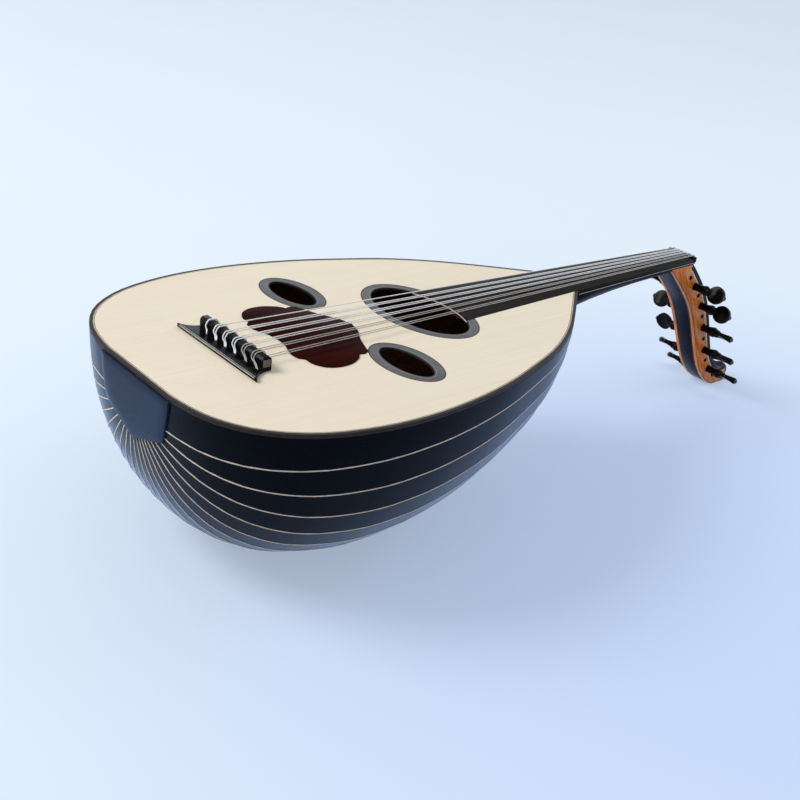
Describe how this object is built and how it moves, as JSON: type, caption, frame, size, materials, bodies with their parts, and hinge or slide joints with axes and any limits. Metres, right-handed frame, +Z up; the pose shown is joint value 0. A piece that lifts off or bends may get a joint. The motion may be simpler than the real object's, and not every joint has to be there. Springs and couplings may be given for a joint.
{
  "type": "oud",
  "caption": "Short-necked fretless lute with a deep ribbed bowl, oval soundholes, a bent-back pegbox and turning friction pegs.",
  "frame": {"origin": "middle of the flat on the bowl's middle rib, on which the oud lies on its back", "axes": "+X to the treble side, +Y along the strings from the tail to the nut, +Z up through the soundboard"},
  "size_m": [0.345, 0.8116, 0.1901],
  "materials": {
    "bowl_lacquer": "black satin-gloss lacquer over thin ribs",
    "peg_ebony": "black, polished",
    "spruce": "pale, fine straight grain, thin clear varnish",
    "binding_wood": "grey-brown, polished",
    "ring_inlay": "dark grey with fine lines, polished",
    "guard_rosewood": "dark red-brown, glossy",
    "fingerboard_ebony": "charcoal, smooth",
    "neck_lacquer": "black satin-gloss lacquer",
    "bridge_ebony": "black, satin",
    "cheek_wood": "orange-brown, varnished",
    "pegbox_lacquer": "black satin-gloss lacquer",
    "inner_wood": "pale, bare wood",
    "wound_string": "fine silver winding",
    "plain_string": "plain, slightly clear"
  },
  "bodies": {
    "instrument": {"bowl_rib_01": "bowl_lacquer", "bowl_rib_02": "bowl_lacquer", "bowl_rib_03": "bowl_lacquer", "bowl_rib_04": "bowl_lacquer", "bowl_rib_05": "bowl_lacquer", "bowl_rib_06": "bowl_lacquer", "bowl_rib_07": "bowl_lacquer", "bowl_rib_08": "bowl_lacquer", "bowl_rib_09": "bowl_lacquer", "bowl_rib_10": "bowl_lacquer", "bowl_rib_11": "bowl_lacquer", "bowl_rib_12": "bowl_lacquer", "bowl_rib_13": "bowl_lacquer", "bowl_rib_14": "bowl_lacquer", "bowl_rib_15": "bowl_lacquer", "bowl_rib_16": "bowl_lacquer", "bowl_rib_17": "bowl_lacquer", "bowl_rib_18": "bowl_lacquer", "bowl_rib_19": "bowl_lacquer", "bowl_rib_20": "bowl_lacquer", "bowl_rib_21": "bowl_lacquer", "soundboard": "spruce", "edge_binding": "binding_wood", "soundhole_ring_treble": "ring_inlay", "soundhole_ring_bass": "ring_inlay", "soundhole_ring_middle": "ring_inlay", "pickguard": "guard_rosewood", "bridge": "bridge_ebony", "fingerboard": "fingerboard_ebony", "neck": "neck_lacquer", "nut": "bridge_ebony", "pegbox_cheek_treble": "cheek_wood", "pegbox_cheek_bass": "cheek_wood", "pegbox_back": "pegbox_lacquer", "string_01": "wound_string", "string_02": "wound_string", "string_03": "wound_string", "string_04": "wound_string", "string_05": "wound_string", "string_06": "wound_string", "string_07": "wound_string", "string_08": "plain_string", "string_09": "plain_string", "string_10": "plain_string", "string_11": "plain_string", "neck_block": "inner_wood", "tail_block": "inner_wood", "soundboard_bars": "inner_wood", "end_clasp": "bowl_lacquer"},
    "tuning_peg_01": {"peg_01": "peg_ebony"},
    "tuning_peg_02": {"peg_02": "peg_ebony"},
    "tuning_peg_03": {"peg_03": "peg_ebony"},
    "tuning_peg_04": {"peg_04": "peg_ebony"},
    "tuning_peg_05": {"peg_05": "peg_ebony"},
    "tuning_peg_06": {"peg_06": "peg_ebony"},
    "tuning_peg_07": {"peg_07": "peg_ebony"},
    "tuning_peg_08": {"peg_08": "peg_ebony"},
    "tuning_peg_09": {"peg_09": "peg_ebony"},
    "tuning_peg_10": {"peg_10": "peg_ebony"},
    "tuning_peg_11": {"peg_11": "peg_ebony"}
  },
  "joints": [
    {"name": "peg_01_turn", "type": "hinge", "parent": "instrument", "child": "tuning_peg_01", "pos_m": [-0.01668, 0.51853, 0.15332], "axis": [-1, 0, 0], "continuous": true},
    {"name": "peg_02_turn", "type": "hinge", "parent": "instrument", "child": "tuning_peg_02", "pos_m": [0.01641, 0.53029, 0.14104], "axis": [1, 0, 0], "continuous": true},
    {"name": "peg_03_turn", "type": "hinge", "parent": "instrument", "child": "tuning_peg_03", "pos_m": [-0.01611, 0.5413, 0.1281], "axis": [-1, 0, 0], "continuous": true},
    {"name": "peg_04_turn", "type": "hinge", "parent": "instrument", "child": "tuning_peg_04", "pos_m": [0.01579, 0.55073, 0.11397], "axis": [1, 0, 0], "continuous": true},
    {"name": "peg_05_turn", "type": "hinge", "parent": "instrument", "child": "tuning_peg_05", "pos_m": [-0.01546, 0.55893, 0.09908], "axis": [-1, 0, 0], "continuous": true},
    {"name": "peg_06_turn", "type": "hinge", "parent": "instrument", "child": "tuning_peg_06", "pos_m": [0.01511, 0.56608, 0.08366], "axis": [1, 0, 0], "continuous": true},
    {"name": "peg_07_turn", "type": "hinge", "parent": "instrument", "child": "tuning_peg_07", "pos_m": [-0.01475, 0.57261, 0.06797], "axis": [-1, 0, 0], "continuous": true},
    {"name": "peg_08_turn", "type": "hinge", "parent": "instrument", "child": "tuning_peg_08", "pos_m": [0.0144, 0.57945, 0.0524], "axis": [1, 0, 0], "continuous": true},
    {"name": "peg_09_turn", "type": "hinge", "parent": "instrument", "child": "tuning_peg_09", "pos_m": [-0.01406, 0.58733, 0.03737], "axis": [-1, 0, 0], "continuous": true},
    {"name": "peg_10_turn", "type": "hinge", "parent": "instrument", "child": "tuning_peg_10", "pos_m": [0.01375, 0.59747, 0.02373], "axis": [1, 0, 0], "continuous": true},
    {"name": "peg_11_turn", "type": "hinge", "parent": "instrument", "child": "tuning_peg_11", "pos_m": [-0.0135, 0.61018, 0.0126], "axis": [-1, 0, 0], "continuous": true}
  ]
}
